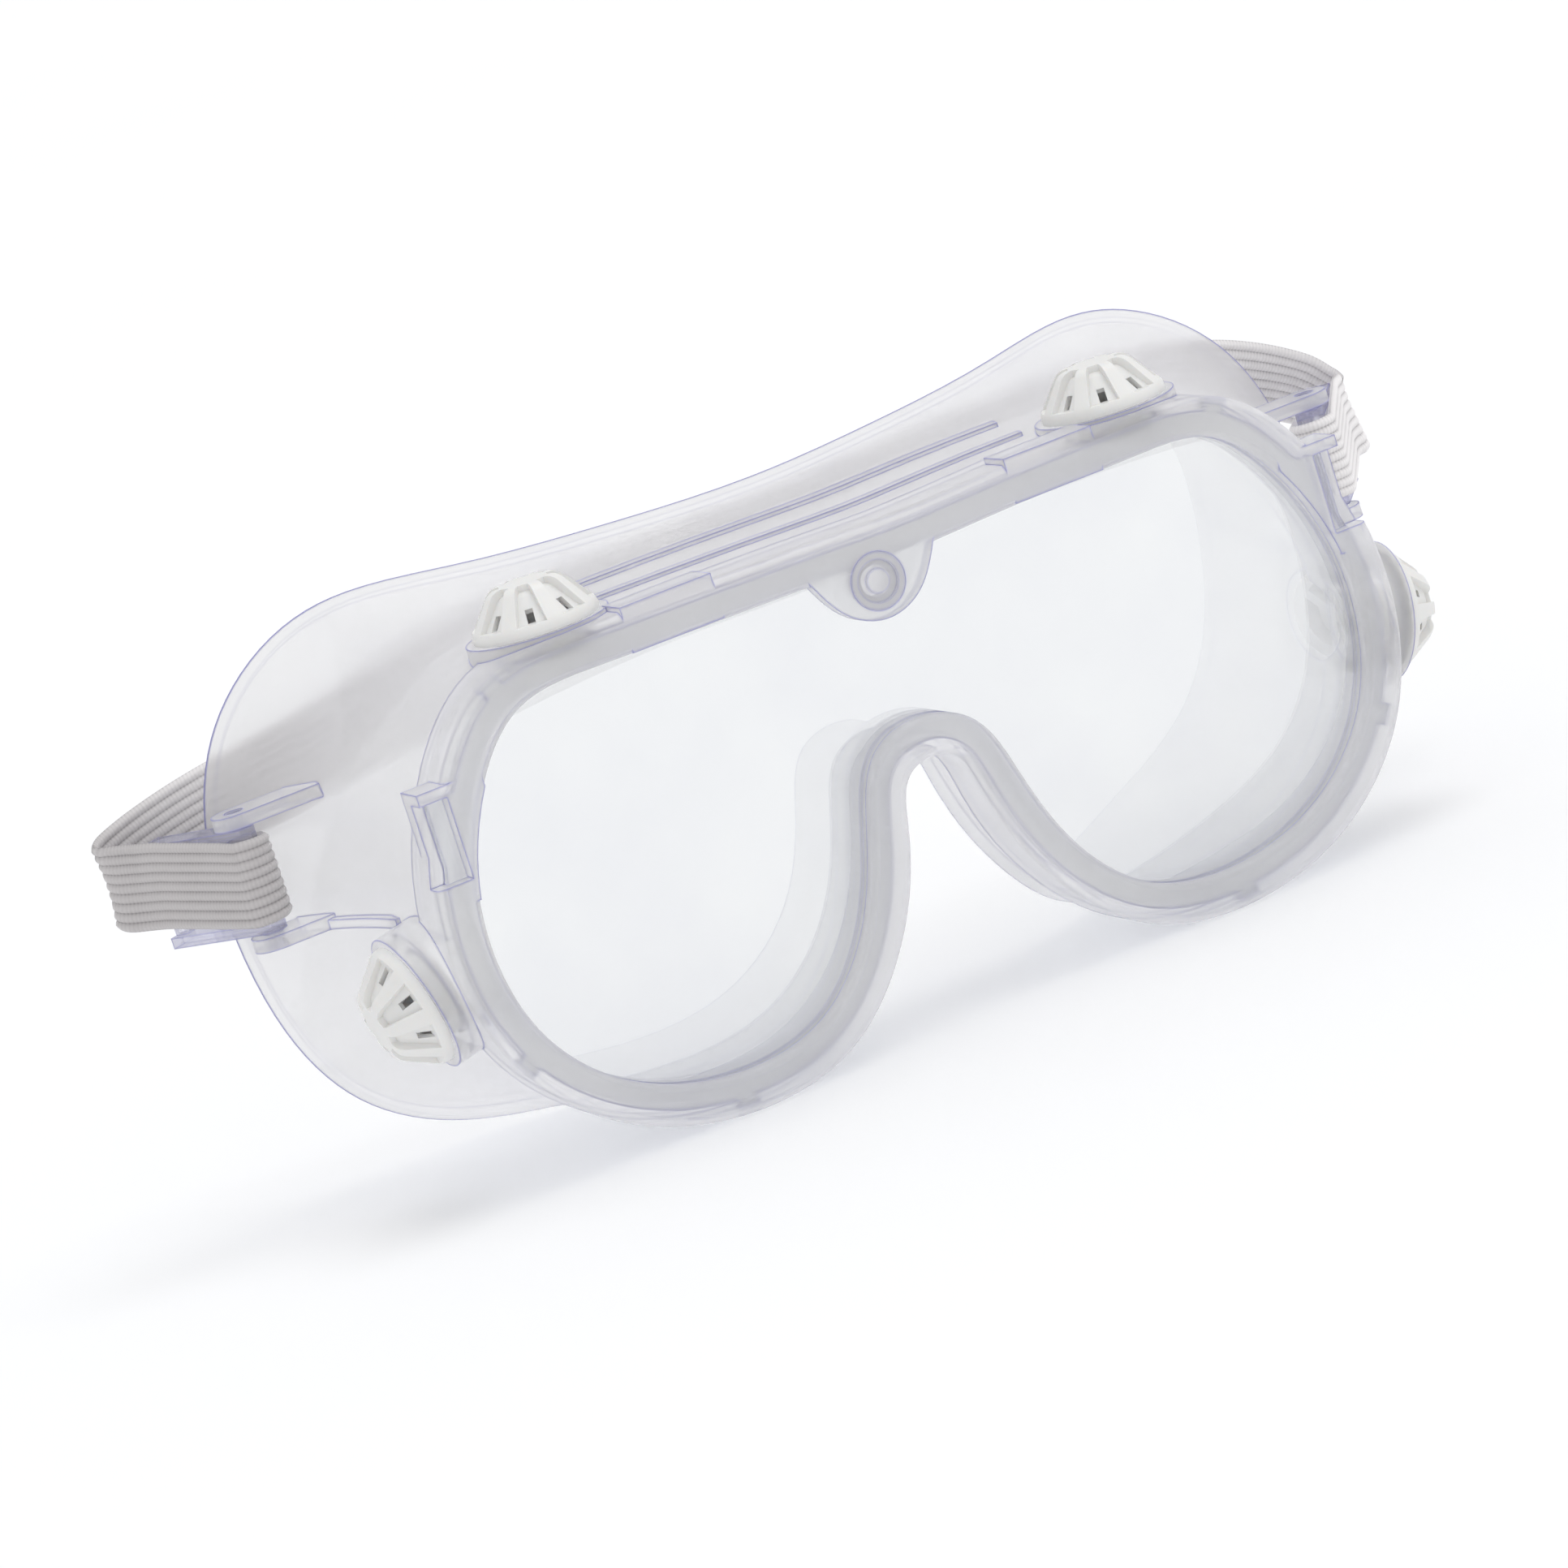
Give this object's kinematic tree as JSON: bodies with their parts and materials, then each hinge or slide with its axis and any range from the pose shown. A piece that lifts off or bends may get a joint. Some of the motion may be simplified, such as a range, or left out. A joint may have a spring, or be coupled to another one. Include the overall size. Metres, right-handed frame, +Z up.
{
  "type": "safety goggles",
  "caption": "Clear splash goggles with a soft flared face body, flat lens with nose arch, domed side and top vents, swinging strap clips and a ribbed elastic strap.",
  "frame": {"origin": "on the surface the goggles stand on, below the middle of their box", "axes": "+X to the right of someone who looks at the lens, +Y from the lens back to the face, +Z up"},
  "size_m": [0.2057, 0.0592, 0.0803],
  "materials": {
    "clear_pvc": "clear soft vinyl with a faint violet tint, moulded gloss",
    "clear_lens": "clear polished polycarbonate",
    "clear_stud": "clear hard plastic",
    "vent_white": "warm white moulded plastic, fine satin",
    "vent_inner": "white moulded plastic, satin",
    "clip_clear": "clear rigid plastic with bluish edges",
    "elastic": "off-white ribbed elastic webbing"
  },
  "bodies": {
    "root": {"face_frame": "clear_pvc", "lens": "clear_lens", "brow_stud": "clear_stud", "vent_base_top_left": "vent_inner", "vent_baffle_top_left": "vent_inner", "vent_cap_top_left": "vent_white", "vent_base_side_left": "vent_inner", "vent_baffle_side_left": "vent_inner", "vent_cap_side_left": "vent_white", "vent_base_top_right": "vent_inner", "vent_baffle_top_right": "vent_inner", "vent_cap_top_right": "vent_white", "vent_base_side_right": "vent_inner", "vent_baffle_side_right": "vent_inner", "vent_cap_side_right": "vent_white", "strap_main": "elastic"},
    "clip_left": {"clip_left": "clip_clear", "strap_end_left": "elastic"},
    "clip_right": {"clip_right": "clip_clear", "strap_end_right": "elastic"}
  },
  "joints": [
    {"name": "clip_left_swing", "type": "hinge", "parent": "root", "child": "clip_left", "pos_m": [-0.087, 0.0064, 0.04907], "axis": [0, 0, 1], "range_deg": [-5, 57]},
    {"name": "clip_right_swing", "type": "hinge", "parent": "root", "child": "clip_right", "pos_m": [0.087, 0.0064, 0.04907], "axis": [0, 0, 1], "range_deg": [-57, 5]}
  ]
}
